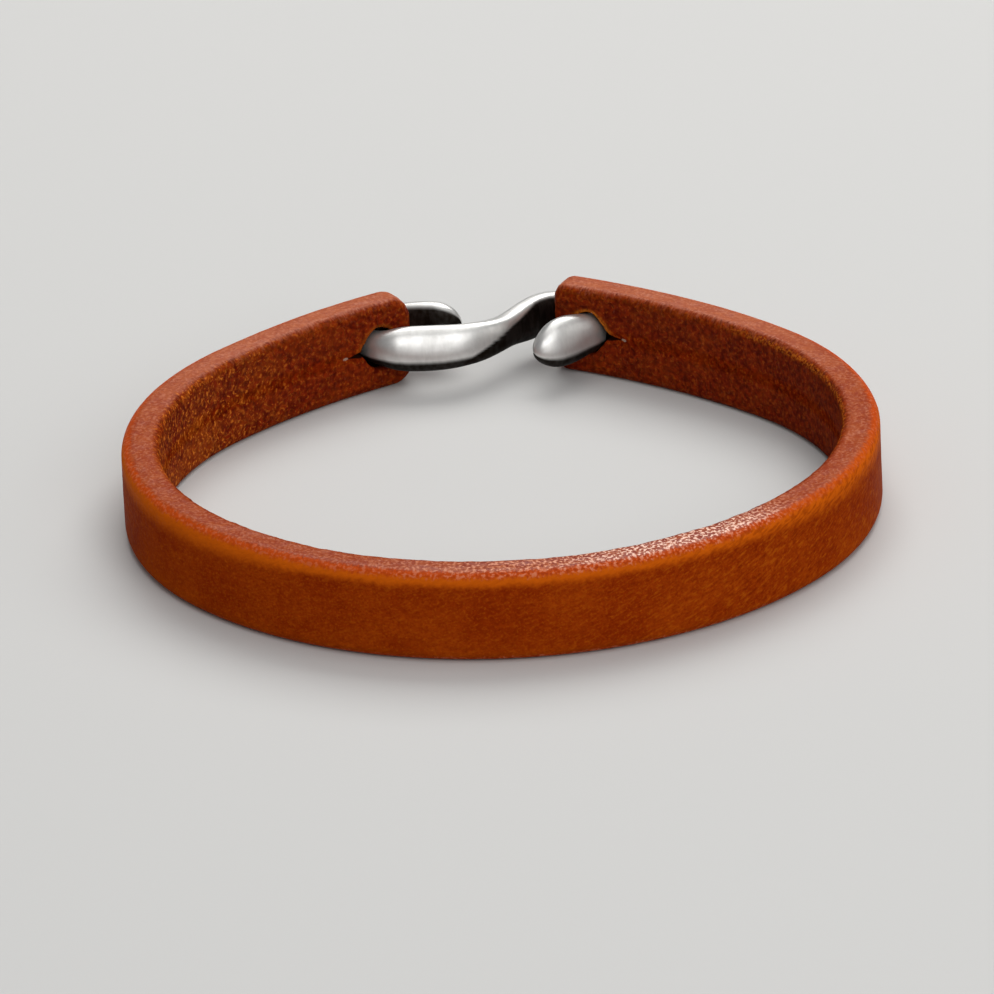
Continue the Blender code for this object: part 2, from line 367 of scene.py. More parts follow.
def rimProfile():
    # Edge of the leather: a small round on the flesh side, a flat cut, a wide round on the grain.
    half = strapLook["thickness"] / 2
    flesh = strapLook["fleshEdgeRadius"]
    grain = strapLook["grainEdgeRadius"]
    small = np.radians(np.linspace(0, 90, 6))
    wide = np.radians(np.linspace(90, 0, 9))
    flat = np.linspace(half - flesh, -half + grain, 8)[1:-1]
    through = np.concatenate([
        half - flesh + flesh * np.cos(small), flat, -half + grain - grain * np.cos(wide),
    ])
    out = np.concatenate([-flesh + flesh * np.sin(small), np.zeros(6), -grain + grain * np.sin(wide)])
    return through, out


def middlePatches():
    # The strap between its ends: both faces, and the rim's profile carried along above and below.
    look = strapLook
    reach = look["endRegion"]
    places = np.linspace(reach, strapLength - reach, int((strapLength - 2 * reach) / look["step"]) + 1)
    backUp = endRegionLines(look["endCorners"][0])[4]
    up = np.concatenate([backUp, [1.0]])
    up = np.concatenate([-up[::-1][:-1], up])
    patches = []
    for sign, radius in ((1, look["fleshEdgeRadius"]), (-1, look["grainEdgeRadius"])):
        along, height = np.meshgrid(places, up * (look["width"] / 2 - radius), indexing="ij")
        patches.append(np.stack([along, np.full_like(along, sign * look["thickness"] / 2), height], -1))
    through, out = rimProfile()
    for sign in (1, -1):
        along, depth = np.meshgrid(places, through, indexing="ij")
        height = np.tile(sign * (look["width"] / 2 + out), (len(places), 1))
        patches.append(np.stack([along, depth, height], -1))
    return patches


def weldPatches(patches):
    # Grids side by side become one surface: points at the same place are counted once.
    points = []
    faces = []
    total = 0
    for grid in patches:
        rows, columns = grid.shape[:2]
        index = np.arange(rows * columns).reshape(rows, columns) + total
        corners = [index[:-1, :-1], index[1:, :-1], index[1:, 1:], index[:-1, 1:]]
        faces.append(np.stack(corners, -1).reshape(-1, 4))
        points.append(grid.reshape(-1, 3))
        total += rows * columns
    points = np.concatenate(points)
    faces = np.concatenate(faces)
    first, inverse = np.unique(np.round(points, 4), axis=0, return_index=True, return_inverse=True)[1:]
    faces = inverse.reshape(-1)[faces]
    return points[first], faces


def bendFlat(flat):
    # Flat strap to bracelet: its length follows the path, and through points inwards.
    x, y, heading = alongStrap(np.clip(flat[:, 0], 0, strapLength))
    x = x - np.sin(heading) * flat[:, 1]
    y = y + np.cos(heading) * flat[:, 1]
    return np.stack([x, y, flat[:, 2] + strapLook["width"] / 2], 1)


def makeStrap(material):
    # The flat patches are welded, bent round the path and raised along their normals by the relief.
    leftCorner, rightCorner = strapLook["endCorners"]
    patches = endPatches(leftCorner)
    for grid in endPatches(rightCorner):
        other = grid.copy()
        other[..., 0] = strapLength - other[..., 0]
        patches.append(other)
    patches += middlePatches()
    flat, faces = weldPatches(patches)
    smooth = bendFlat(flat)
    piece = addPiece("leatherStrap", smooth, faces.tolist(), material, "strap")
    places = smooth + meshNormals(piece) * strapRelief(flat)[:, None]
    places[:, 2] = np.maximum(places[:, 2], 0.0)
    piece.data.vertices.foreach_set("co", (places * mm).astype(np.float32).ravel())
    piece.data.update()
    setAttribute(piece, "flat", "FLOAT_VECTOR", flat)
    setAttribute(piece, "tipPlace", "FLOAT_VECTOR", seenFromTip(flat))
    for name, values in strapMasks(flat).items():
        setAttribute(piece, name, "FLOAT", values)
    print("strap:", len(piece.data.polygons), "faces")
    return piece


def slitDistance(fromEnd, up):
    # How far a point of the strap's face lies from the outline of the slit.
    along, height = slitHalf(np.linspace(0, 1, 160))
    near = fromEnd < slitLook["tip"] + 2.0
    result = np.full(len(fromEnd), 9.0)
    gap = np.hypot(fromEnd[near, None] - along[None, :], np.abs(up[near, None]) - height[None, :])
    result[near] = gap.min(axis=1)
    return result


zoneLook = {
    # places along the strap where a look comes in and is full, then where it fades and is gone
    "napFrom": (8.0, 24.0),
    "napUntil": (60.0, 100.0),
    # sparkle: where the cut edge's pale crumbs, partly painted glints, lie; glint: where a painted
    # highlight lies on it
    "sparkleFrom": (62.0, 83.0),
    "sparkleUntil": (98.0, 105.0),
    "glintFrom": (80.0, 89.0),
    "glintUntil": (96.0, 103.0),
    "lipReach": (0.12, 0.42),        # how far the raw orange lip reaches from the slit
    "leftLip": 0.35,                 # how strong it is on the left end
}


def distanceFromEnd(flat):
    return np.minimum(flat[:, 0], strapLength - flat[:, 0])


def seenFromTip(flat):
    # The place seen from the tip of the nearer slit: along the strap towards its middle, through, up.
    return np.stack([distanceFromEnd(flat) - slitLook["tip"], flat[:, 1], flat[:, 2]], 1)


def strapMasks(flat):
    # Masks from 0 to 1: what lies in a slit, its walls, painted dark as shade, and its raw lips, how hairy
    # the flesh side is, how crumbly and how shiny the cut edge is, its pale crumbs partly painted glints,
    # and where a painted highlight lies on it. Each is a product of smooth steps.
    look = zoneLook
    half = strapLook["thickness"] / 2
    place = flat[:, 0]
    toSlit = slitDistance(distanceFromEnd(flat), flat[:, 2])
    inSlit = 1.0 * (toSlit < 0.02)
    lip = (1 - smoothStep(*look["lipReach"], toSlit)) * smoothStep(half - 0.4, half - 0.1, flat[:, 1])
    lip = lip * smoothStep(0.0, 0.4, flat[:, 2]) * np.where(place > strapLength / 2, 1.0, look["leftLip"])
    nap = 0.25 + 0.75 * smoothStep(*look["napFrom"], place) - 0.80 * smoothStep(*look["napUntil"], place)
    sparkle = smoothStep(*look["sparkleFrom"], place) * (1 - smoothStep(*look["sparkleUntil"], place))
    return {
        "inSlit": inSlit,
        "slitWallShade": inSlit * (1 - smoothStep(half - 0.45, half - 0.1, flat[:, 1])),
        "lip": lip,
        "nap": nap,
        "sparkle": 0.35 + 0.65 * sparkle,
        "glint": smoothStep(*look["glintFrom"], place) * (1 - smoothStep(*look["glintUntil"], place)),
    }


reliefLook = {
    # height, size and seed of each noise, heights and sizes in millimetres
    "waves": [(0.03, 7.0, 1), (0.015, 2.6, 2)],
    "fibres": [(0.05, 0.30, 3), (0.03, 0.8, 4)],
    "nap": [(0.05, 0.55, 5), (0.03, 0.28, 6)],
    "skin": [(0.006, 0.6, 7)],
    "fibreStretch": 0.45,
    "restingEdge": (-3.7, -2.6),     # heights between which the relief sets in above the resting edge
    "restingDepth": 0.03,
}


def layeredNoise(points, layers):
    return sum(height * softNoise(points, size, seed) for height, size, seed in layers)


def strapRelief(flat):
    # Height added to the smooth strap: long waves all over, then stretched fibres on the cut edge,
    # nap on the flesh side and fine skin on the grain. It fades to a flat at the resting edge.
    look = reliefLook
    half = strapLook["thickness"] / 2
    radius = strapLook["grainEdgeRadius"]
    flesh = smoothStep(half - 0.55, half - 0.1, flat[:, 1])
    cut = smoothStep(-half + 0.60 * radius, -half + 1.15 * radius, flat[:, 1]) * (1 - flesh)
    waves = layeredNoise(flat, look["waves"])
    fibres = layeredNoise(flat * np.array([look["fibreStretch"], 1.0, 1.0]), look["fibres"])
    nap = layeredNoise(flat, look["nap"])
    skin = layeredNoise(flat, look["skin"])
    low = smoothStep(*look["restingEdge"], flat[:, 2])
    fine = cut * fibres + flesh * nap + (1 - np.clip(cut + flesh, 0, 1)) * skin
    return (waves + fine) * low - look["restingDepth"] * (1 - low)


# The hook: rounded, slightly squared sections carried along a path with two bends.

def leftOf(heading):
    return np.array([-sin(heading), cos(heading)])


def hookPath():
    # Plan of the bar: a leg, a bend round each end of the strap, and a crossing between two arcs. The
    # lengths of the body and the crossing follow from where the bends have to be.
    look = hookLook
    centre = slitLook["margin"] / 2
    bend = hypot(centre, strapLook["thickness"] / 2) + look["gap"] + look["thickness"] / 2
    x, y = alongStrap([centre, strapLength - centre])[:2]
    leftCentre = np.array([x[0], y[0]])
    rightCentre = np.array([x[1], y[1]])
    body = radians(look["bodyHeading"])
    cross = radians(look["crossHeading"])
    outer = radians(look["outerHeading"])
    leg = radians(look["leftLegHeading"])
    bodyStart = leftCentre - bend * leftOf(body)
    outerEnd = rightCentre + bend * leftOf(outer)
    turnIn = look["crossRadiusIn"] * np.array([sin(cross) - sin(body), cos(body) - cos(cross)])
    turnOut = look["crossRadiusOut"] * np.array([sin(cross) - sin(outer), cos(outer) - cos(cross)])
    runs = np.array([[cos(body), cos(cross)], [sin(body), sin(cross)]])
    bodyLength, crossLength = np.linalg.solve(runs, outerEnd - bodyStart - turnIn - turnOut)
    start = leftCentre - bend * leftOf(leg) - look["leftLegLength"] * np.array([cos(leg), sin(leg)])
    named = [
        ("leftLeg", look["leftLegLength"], 0.0, 1),
        ("leftBend", bend * (2 * pi + body - leg), bend, 1),
        ("body", bodyLength, 0.0, 1),
        ("crossIn", look["crossRadiusIn"] * (cross - body), look["crossRadiusIn"], 1),
        ("cross", crossLength, 0.0, 1),
        ("crossOut", look["crossRadiusOut"] * (cross - outer), look["crossRadiusOut"], -1),
        ("rightBend", bend * (outer - radians(look["rightLegHeading"])), bend, -1),
        ("rightLeg", look["rightLegLength"], 0.0, 1),
    ]
    marks = {}
    begun = 0.0
    for name, length in [piece[:2] for piece in named]:
        marks[name] = (begun, length)
        begun += length
    throughPlace = centre + bend
    slitY = alongStrap([throughPlace, strapLength - throughPlace])[1].mean()
    return [piece[1:] for piece in named], start, leg, marks, begun, slitY


def easedTable(places, values, at):
    # A smooth curve through the table's rows: cubic pieces that meet with the same slope.
    at = np.clip(at, places[0], places[-1])
    row = np.clip(np.searchsorted(places, at, side="right") - 1, 0, len(places) - 2)
    slope = np.gradient(values, places)
    step = places[row + 1] - places[row]
    share = (at - places[row]) / step
    start = (1 + 2 * share) * (1 - share) ** 2 * values[row] + share * (1 - share) ** 2 * step * slope[row]
    end = share ** 2 * (3 - 2 * share) * values[row + 1] + share ** 2 * (share - 1) * step * slope[row + 1]
    return start + end


def makeHook(material):
    # Each section is a superellipse, made smaller in the tips as in a ball and rolled about the path.
    # The whole is then leaned about its own length.
    look = hookLook
    pieces, start, heading, marks, length, slitY = hookPath()
    tip = look["tipLength"]
    quarter = 1 - np.cos(np.radians(np.linspace(3, 90, look["tipRows"])))
    middle = np.linspace(tip, length - tip, look["rows"])[1:-1]
    places = np.concatenate([tip * quarter, middle, length - tip * quarter[::-1]])
    tableAt = np.array([marks[row[0]][0] + row[1] * marks[row[0]][1] for row in hookSections])
    table = np.array([row[2:] for row in hookSections], dtype=float)
    heights, widths, lifts, rolls, squareness = (easedTable(tableAt, row, places) for row in table.T)
    fromTip = np.clip(np.minimum(places, length - places) / tip, 0, 1)
    taper = np.sqrt(1 - (1 - fromTip) ** 2)
    x, y, ahead = walkPath(pieces, start, heading, places)
    angle = np.linspace(0, 2 * pi, look["columns"], endpoint=False)
    power = (2 / squareness)[:, None]
    across = np.sign(np.cos(angle)) * np.abs(np.cos(angle)) ** power
    up = np.sign(np.sin(angle)) * np.abs(np.sin(angle)) ** power
    across = across * (widths * taper / 2)[:, None]
    up = up * (heights * taper / 2)[:, None]
    roll = np.radians(rolls)[:, None]
    through = across * np.cos(roll) + up * np.sin(roll)
    height = up * np.cos(roll) - across * np.sin(roll) + lifts[:, None]
    pointX = x[:, None] - np.sin(ahead)[:, None] * through
    pointY = y[:, None] + np.cos(ahead)[:, None] * through
    lean = radians(look["lean"])
    leanedY = slitY + (pointY - slitY) * cos(lean) + height * sin(lean)
    leanedZ = strapLook["width"] / 2 - (pointY - slitY) * sin(lean) + height * cos(lean)
    grid = np.stack([pointX, leanedY, leanedZ], -1)
    rows, columns = grid.shape[:2]
    index = np.arange(rows * columns).reshape(rows, columns)
    after = np.roll(index, -1, axis=1)
    faces = np.stack([index[:-1], after[:-1], after[1:], index[1:]], -1).reshape(-1, 4).tolist()
    middles = np.stack([grid[0].mean(axis=0), grid[-1].mean(axis=0)])
    points = np.concatenate([grid.reshape(-1, 3), middles])
    poleStart, poleEnd = len(points) - 2, len(points) - 1
    faces += np.stack([index[0], np.full(columns, poleStart), after[0]], 1).tolist()
    faces += np.stack([index[-1], after[-1], np.full(columns, poleEnd)], 1).tolist()
    piece = addPiece("steelHook", points, faces, material, "s_hook")
    run = np.concatenate([np.repeat(places, columns), [0.0, length]])
    roundBar = np.concatenate([np.tile(angle, rows), [0.0, 0.0]])
    setAttribute(piece, "bar", "FLOAT_VECTOR", np.stack([run, np.cos(roundBar), np.sin(roundBar)], 1))
    level = (height - lifts[:, None]) / np.maximum(heights * taper / 2, 0.05)[:, None]
    level = np.concatenate([level.ravel(), [0.0, 0.0]])
    # mask of painted shade and painted dark reflections on the steel
    setAttribute(piece, "paintedShade", "FLOAT", hookPaintedShade(run, level, meshNormals(piece), marks))
    print("hook:", len(faces), "faces")
    return piece


# Painted shade and painted dark reflections on the hook, where the steel would lie in shade or mirror the
# dark floor and leather.
paintedShadeLook = {
    "strength": 0.985,
    "inward": (0.10, 0.45),          # how much a face turns inwards before patina shows, and is full
    "underside": (0.34, 0.58),       # share of the half height below the middle, in the same way
    "bodyUnshaded": 2.5,               # length of the body that stays bright from its start
    "crossingRise": (-1.2, 0.45, 0.88),  # level it reaches from there to the outer bend
    "legTop": 0.86,
    "fadeOnLeft": (1.0, 3.0),        # lengths of the bends over which the inner face turns bright
    "fadeOnRight": (3.0, 5.5),
    "border": 0.12,                  # share of a bend over which the painted shade in a slit sets in
    "outerStay": 0.4,                # how much further it stays on the right bend's outer side
    # bend, share of it where the painted shade sets in, share where it fades, side of the hook
    "slits": [("leftBend", 0.15, 0.47, -1), ("rightBend", 0.22, 0.58, 1)],
}


def hookPaintedShade(run, level, normals, marks):
    # Painted shade and painted dark reflections, which stand in for shade and for the dark floor and
    # leather mirrored in the steel: the underside, the inner face of the left leg, the inner face of the
    # crossing, from the body's lower edge widening upwards, and the bar in the slits.
    # level is -1 at the bar's lower edge and 1 at its upper one.
    look = paintedShadeLook
    bodyStart, crossStart = marks["body"][0], marks["cross"][0]
    leftStart, rightStart = marks["leftBend"][0], marks["rightBend"][0]
    facing = smoothStep(*look["inward"], -normals[:, 1])
    under = smoothStep(*look["underside"], -level) * smoothStep(-0.85, -0.3, -normals[:, 2])
    rising = [bodyStart + look["bodyUnshaded"], crossStart, marks["crossOut"][0]]
    wedge = np.interp(run, rising, look["crossingRise"])
    crossing = smoothStep(-0.09, 0.09, wedge - level) * facing * (run > rising[0] - 0.5)
    crossing = crossing * (1 - smoothStep(*look["fadeOnRight"], run - rightStart))
    leg = smoothStep(-0.1, 0.1, look["legTop"] - level) * facing
    leg = leg * (1 - smoothStep(*look["fadeOnLeft"], run - leftStart))
    slitShade = np.zeros(len(run))
    for name, grows, fades, side in look["slits"]:
        share = (run - marks[name][0]) / marks[name][1]
        outer = smoothStep(0.72, 0.86, side * normals[:, 0]) * (side > 0)
        setsIn = smoothStep(grows, grows + look["border"], share)
        until = fades + look["outerStay"] * outer
        slitShade = np.maximum(slitShade, setsIn * (1 - smoothStep(until, until + look["border"], share)))
    return look["strength"] * np.maximum.reduce([under, crossing, leg, slitShade])


# Materials. A node is put in with its settings and its inputs: a value, or another node's output.

def put(tree, kind, inputs, **settings):
    node = tree.nodes.new("ShaderNode" + kind)
    for name, value in settings.items():
        setattr(node, name, value)
    for name, value in inputs.items():
        if isinstance(value, bpy.types.NodeSocket):
            tree.links.new(value, node.inputs[name])
        else:
            node.inputs[name].default_value = value
    return node


def calculate(tree, operation, *values, clamp=False):
    node = put(tree, "Math", dict(enumerate(values)), operation=operation, use_clamp=clamp)
    return node.outputs[0]


def plus(tree, *values):
    total = values[0]
    for value in values[1:]:
        total = calculate(tree, "ADD", total, value)
    return total


def minus(tree, first, second):
    return calculate(tree, "SUBTRACT", first, second)


def times(tree, *values):
    total = values[0]
    for value in values[1:]:
        total = calculate(tree, "MULTIPLY", total, value)
    return total


def mixValue(tree, factor, first, second):
    return put(tree, "Mix", {0: factor, 2: first, 3: second}).outputs[0]


def bumped(tree, height):
    # Heights in millimetres, brought to metres by the bump's distance.
    return put(tree, "Bump", {"Height": height, "Strength": 1.0, "Distance": mm}).outputs["Normal"]


def ease(tree, value, low, high, start=0.0, end=1.0):
    # Smooth step from start to end while the value goes from low to high.
    inputs = {"Value": value, "From Min": low, "From Max": high, "To Min": start, "To Max": end}
    return put(tree, "MapRange", inputs, interpolation_type="SMOOTHSTEP").outputs["Result"]


def mixColour(tree, factor, first, second):
    node = tree.nodes.new("ShaderNodeMix")
    node.data_type = "RGBA"
    for index, value in ((0, factor), (6, first), (7, second)):
        if isinstance(value, bpy.types.NodeSocket):
            tree.links.new(value, node.inputs[index])
        elif index == 0:
            node.inputs[0].default_value = value
        else:
            node.inputs[index].default_value = (*value[:3], 1)
    return node.outputs[2]


def noise(tree, vector, size, detail=2.0):
    return put(tree, "TexNoise", {"Vector": vector, "Scale": 1 / size, "Detail": detail}).outputs["Fac"]


def stretched(tree, vector, scale, turn=(0, 0, 0)):
    return put(tree, "Mapping", {"Vector": vector, "Scale": scale, "Rotation": turn}).outputs["Vector"]


def newGroup(name, inputs, outputs):
    group = bpy.data.node_groups.new(name, "ShaderNodeTree")
    for title, kind, value in inputs:
        socket = group.interface.new_socket(title, in_out="INPUT", socket_type="NodeSocket" + kind)
        if value is not None:
            socket.default_value = value
    for title, kind in outputs:
        group.interface.new_socket(title, in_out="OUTPUT", socket_type="NodeSocket" + kind)
    return group, group.nodes.new("NodeGroupInput").outputs, group.nodes.new("NodeGroupOutput").inputs


def curledFibres():
    # Thin curled lines: the ridges of a bent noise, kept where a wider noise is high.
    group, given, result = newGroup(
        "curledFibres",
        [("Vector", "Vector", None), ("Density", "Float", 2.0), ("Fineness", "Float", 0.12)],
        [("Mask", "Float")],
    )
    bend = put(group, "TexNoise", {"Vector": given["Vector"], "Scale": given["Density"], "Detail": 2.0})
    lines = put(group, "TexNoise", {
        "Vector": given["Vector"], "Scale": given["Density"], "Detail": 1.0, "Distortion": 0.5,
    })
    middle = calculate(group, "ABSOLUTE", minus(group, lines.outputs["Fac"], 0.5))
    share = calculate(group, "DIVIDE", middle, given["Fineness"])
    ridge = calculate(group, "SUBTRACT", 1.0, share, clamp=True)
    part = ease(group, bend.outputs["Fac"], 0.38, 0.60)
    group.links.new(times(group, ridge, part), result["Mask"])
    return group


def softMottle():
    # Two sizes of cloudy variation, put out as a value round 0.5.
    group, given, result = newGroup(
        "softMottle",
        [
            ("Vector", "Vector", None), ("Wide", "Float", 0.3), ("Fine", "Float", 2.0),
            ("Fine Share", "Float", 0.4),
        ],
        [("Value", "Float")],
    )
    wide = put(group, "TexNoise", {"Vector": given["Vector"], "Scale": given["Wide"], "Detail": 3.0})
    fine = put(group, "TexNoise", {"Vector": given["Vector"], "Scale": given["Fine"], "Detail": 3.0})
    both = mixValue(group, given["Fine Share"], wide.outputs["Fac"], fine.outputs["Fac"])
    group.links.new(both, result["Value"])
    return group


def useGroup(tree, group, **inputs):
    node = tree.nodes.new("ShaderNodeGroup")
    node.node_tree = group
    for title, value in inputs.items():
        socket = node.inputs[title.replace("_", " ")]
        if isinstance(value, bpy.types.NodeSocket):
            tree.links.new(value, socket)
        else:
            socket.default_value = value
    return node.outputs[0]


def newMaterial(name):
    material = bpy.data.materials.new(name)
    material.use_nodes = True
    return material, material.node_tree, material.node_tree.nodes["Principled BSDF"]


def attribute(tree, name, output="Fac"):
    return put(tree, "Attribute", {}, attribute_name=name, attribute_type="GEOMETRY").outputs[output]


leatherLook = {
    "grain": (0.250, 0.0240, 0.0012),
    "grainWarm": (0.340, 0.0460, 0.0022),
    "grainFleck": (0.520, 0.1200, 0.0050),
    "grainDeep": (0.140, 0.0095, 0.0007),
    # golden shoulder and bevel: lighter partly as the edge's own colour and wear, partly as painted light
    "shoulderGoldAndLight": (0.600, 0.1100, 0.0040),
    "bevelWearAndLight": (0.460, 0.0560, 0.0070),
    "cut": (0.270, 0.0350, 0.0060),
    "cutFibre": (0.390, 0.0850, 0.0200),
    # pale crumbs of the cut edge, partly painted glints and sheen; then the painted highlight's colour
    "cutFleckAndSheen": (0.760, 0.3200, 0.1900),
    "cutGlint": (0.880, 0.5600, 0.4400),
    "cutDeep": (0.190, 0.0110, 0.0018),
    "flesh": (0.090, 0.0045, 0.0006),
    "fleshWarm": (0.215, 0.0175, 0.0018),
    "fleshGold": (0.270, 0.0400, 0.0026),
    "fleshFibre": (0.640, 0.1750, 0.0180),
    "rawLip": (0.560, 0.1600, 0.0130),
    "frayed": (0.480, 0.3800, 0.3000),
    # near-black painted shade inside the slits and along the closed cuts
    "slitWallShade": (0.010, 0.0025, 0.0012),
    "fleckSize": 0.19,              # sizes of the noises, in millimetres of the flat strap
    "streakSize": 0.30,
    "crumbSize": 0.27,
    "clumpSize": 0.50,
    "creaseSize": 0.55,
    "creaseSlant": 0.40,            # in radians
    "creaseStretch": (0.8, 1.0, 2.6),
    "pebbleScale": 2.3,
    "wander": (0.34, 0.46, 0.90, 0.85),  # of flecks, tone and streaks in the borders, less their mean
    "shoulderFront": (-0.45, 0.35),      # where the golden shoulder begins and is full, in front
    "shoulderSide": (-1.35, 0.15),       # and at the sides, from the end of the grain face
    # where, on the right, the bevel's painted light is toned down, as the side lamp lights it
    "rightSide": (96.0, 106.0, 112.0, 122.0),
    "fringeSide": (100.0, 116.0, 134.0, 146.0),
    # where the creases' painted shade and painted highlight grow stronger
    "creaseShadingFrom": (78.0, 100.0),
    "grainRoughness": (0.36, 0.48),
    "cutRoughness": 0.40,
    "fleshRoughness": 0.85,
    "specular": 0.002,
    "specularTint": (1.0, 0.60, 0.38, 1),
    "cutWax": (0.16, 0.30),         # coat on the cut edge, where it is plain and where it is crumbly
    "glintWax": 0.15,
    "bevelWax": 0.06,
    "waxRoughness": 0.32,
}


def fadeInOut(tree, x, rises, full, fades, gone):
    # A mask along the strap: eased in, full, and eased out again.
    return times(tree, ease(tree, x, rises, full), ease(tree, x, gone, fades))


def leatherFields(tree, mottleGroup):
    # What all sides of the leather share: the place on the flat strap, flecks, clouds of tone, and
    # how far the borders between grain, cut edge and flesh wander, a few tenths of a millimetre.
    look = leatherLook
    place = attribute(tree, "flat", "Vector")
    parts = put(tree, "SeparateXYZ", {"Vector": place}).outputs
    fleck = noise(tree, place, look["fleckSize"])
    tone = useGroup(tree, mottleGroup, Vector=place, Wide=0.55, Fine=2.6, Fine_Share=0.5)
    streak = noise(tree, stretched(tree, place, (1.8, 0.55, 0.55)), look["streakSize"])
    fleckShare, toneShare, streakShare, mean = look["wander"]
    wander = plus(tree, times(tree, fleck, fleckShare), times(tree, tone, toneShare))
    wander = minus(tree, plus(tree, wander, times(tree, streak, streakShare)), mean)
    return {
        "place": place,
        "x": parts["X"],
        "y": parts["Y"],
        "z": parts["Z"],
        "height": calculate(tree, "ABSOLUTE", parts["Z"]),
        "fromFront": calculate(tree, "ABSOLUTE", minus(tree, parts["X"], strapLength / 2)),
        "fleck": fleck,
        "tone": tone,
        "cloud": useGroup(tree, mottleGroup, Vector=place, Wide=0.22, Fine=1.3, Fine_Share=0.45),
        "wander": wander,
        "nap": attribute(tree, "nap"),
        "sparkle": attribute(tree, "sparkle"),
        "glint": attribute(tree, "glint"),
    }


def leatherBorders(tree, field):
    # Masks of the flesh side, of the flat of the cut edge (rim), of the bevel before it and of the golden
    # shoulder; bevel and shoulder are lighter partly as the edge's own colour and wear, partly as painted
    # light, the shoulder mostly on the upper edge and the bevel less on the right. Round the grain side's
    # edge, turn is 0 where the face ends and 2 where the rim begins.
    look = leatherLook
    half = strapLook["thickness"] / 2
    radius = strapLook["grainEdgeRadius"]
    corner = strapLook["width"] / 2 - radius - half
    depth = plus(tree, field["y"], field["wander"])
    turn = calculate(tree, "DIVIDE", minus(tree, plus(tree, field["height"], depth), corner), radius)
    turn = minus(tree, turn, times(tree, attribute(tree, "inSlit"), 9.0))
    # The bevel's painted light is toned down on the right, where the side lamp lights it.
    onRight = fadeInOut(tree, field["x"], *look["rightSide"])
    bevelWearAndLight = times(tree, ease(tree, turn, 0.45, 1.10), ease(tree, onRight, 0.0, 1.0, 1.0, 0.6))
    plain = minus(tree, plus(tree, field["height"], field["y"], field["tone"]), corner + 0.5)
    begins, full = (
        ease(tree, field["fromFront"], 12.0, 32.0, front, side)
        for front, side in zip(look["shoulderFront"], look["shoulderSide"])
    )
    # The shoulder is strongest on the upper edge, where its colour is partly painted light.
    shoulderGoldAndLight = times(tree, ease(tree, plain, begins, full), ease(tree, field["z"], -2.0, -1.0, 0.15, 1.0))
    return {
        "flesh": ease(tree, depth, half - 0.80, half - 0.05),
        "rim": ease(tree, turn, 1.30, 2.00),
        "bevelWearAndLight": bevelWearAndLight,
        "shoulderGoldAndLight": shoulderGoldAndLight,
    }


def grainSide(tree, field, borders):
    # Cloudy dye, fine flecks, shallow pebbles and faint slanting creases, with painted shade in the
    # creases' hollows and painted highlight on their ridges. Gives colour and height.
    look = leatherLook
    place, fleck = field["place"], field["fleck"]
    colour = mixColour(tree, ease(tree, field["cloud"], 0.34, 0.66), look["grain"], look["grainWarm"])
    colour = mixColour(tree, ease(tree, fleck, 0.52, 0.72, 0, 0.30), colour, look["grainFleck"])
    colour = mixColour(tree, ease(tree, fleck, 0.48, 0.30, 0, 0.32), colour, look["grainDeep"])
    cells = put(tree, "TexVoronoi", {"Vector": place, "Scale": look["pebbleScale"]}, feature="F1")
    pebble = ease(tree, cells.outputs["Distance"], 0.15, 0.80)
    colour = mixColour(tree, times(tree, pebble, 0.18), colour, look["grainDeep"])
    slanted = stretched(tree, place, (1, 1, 1), (0, look["creaseSlant"], 0))
    creases = noise(tree, stretched(tree, slanted, look["creaseStretch"]), look["creaseSize"])
    strong = ease(tree, field["x"], *look["creaseShadingFrom"], 0.15, 0.42)
    # Painted shade in the creases' hollows and painted highlight on their ridges, growing towards the
    # front's right.
    dark = times(tree, ease(tree, creases, 0.46, 0.30), strong)
    light = times(tree, ease(tree, creases, 0.54, 0.70), strong)
    colour = mixColour(tree, dark, colour, look["grainDeep"])
    colour = mixColour(tree, light, colour, look["grainFleck"])
    # Golden shoulder and bevel: partly the edge's own colour and wear, partly painted light.
    smooth = ease(tree, creases, 0.36, 0.56, ease(tree, field["x"], 84.0, 102.0, 0.80, 0.45), 0.90)
    colour = mixColour(tree, times(tree, borders["shoulderGoldAndLight"], smooth), colour, look["shoulderGoldAndLight"])
    colour = mixColour(tree, times(tree, borders["bevelWearAndLight"], 0.85), colour, look["bevelWearAndLight"])
    height = minus(tree, times(tree, creases, 0.03), times(tree, pebble, 0.018))
    return colour, plus(tree, height, times(tree, fleck, 0.014))


